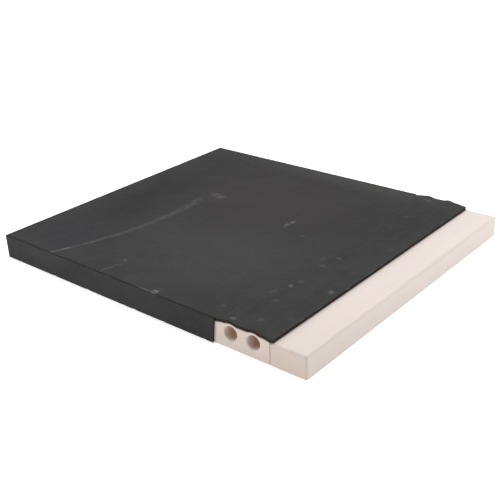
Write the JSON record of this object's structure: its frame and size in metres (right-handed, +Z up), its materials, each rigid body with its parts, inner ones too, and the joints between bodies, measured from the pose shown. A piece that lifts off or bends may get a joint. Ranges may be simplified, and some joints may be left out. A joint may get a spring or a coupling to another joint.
{
  "type": "leatherworking slab",
  "caption": "Flat leatherworking slab: pale timber core with a thin black stone top sheet and edge bands, a bare rounded end bar, and round bores from front to back under low ridges.",
  "frame": {"origin": "centre of the footprint on the rest face", "axes": "+X along the length towards the bare end bar, +Y from front to back, +Z up out of the work surface"},
  "size_m": [0.31, 0.2706, 0.022],
  "materials": {
    "black_stone": "honed, matt",
    "pale_timber": "fine sanded, clear matt",
    "dowel_timber": "raw"
  },
  "bodies": {
    "root": {"stone_top_sheet": "black_stone", "stone_front_band": "black_stone", "stone_back_band": "black_stone", "stone_left_band": "black_stone", "core_board": "pale_timber", "bored_rail": "pale_timber", "end_bar": "pale_timber", "rail_dowel_front": "dowel_timber", "rail_dowel_middle": "dowel_timber", "rail_dowel_back": "dowel_timber", "bar_dowel_front": "dowel_timber", "bar_dowel_middle": "dowel_timber", "bar_dowel_back": "dowel_timber"}
  },
  "joints": []
}
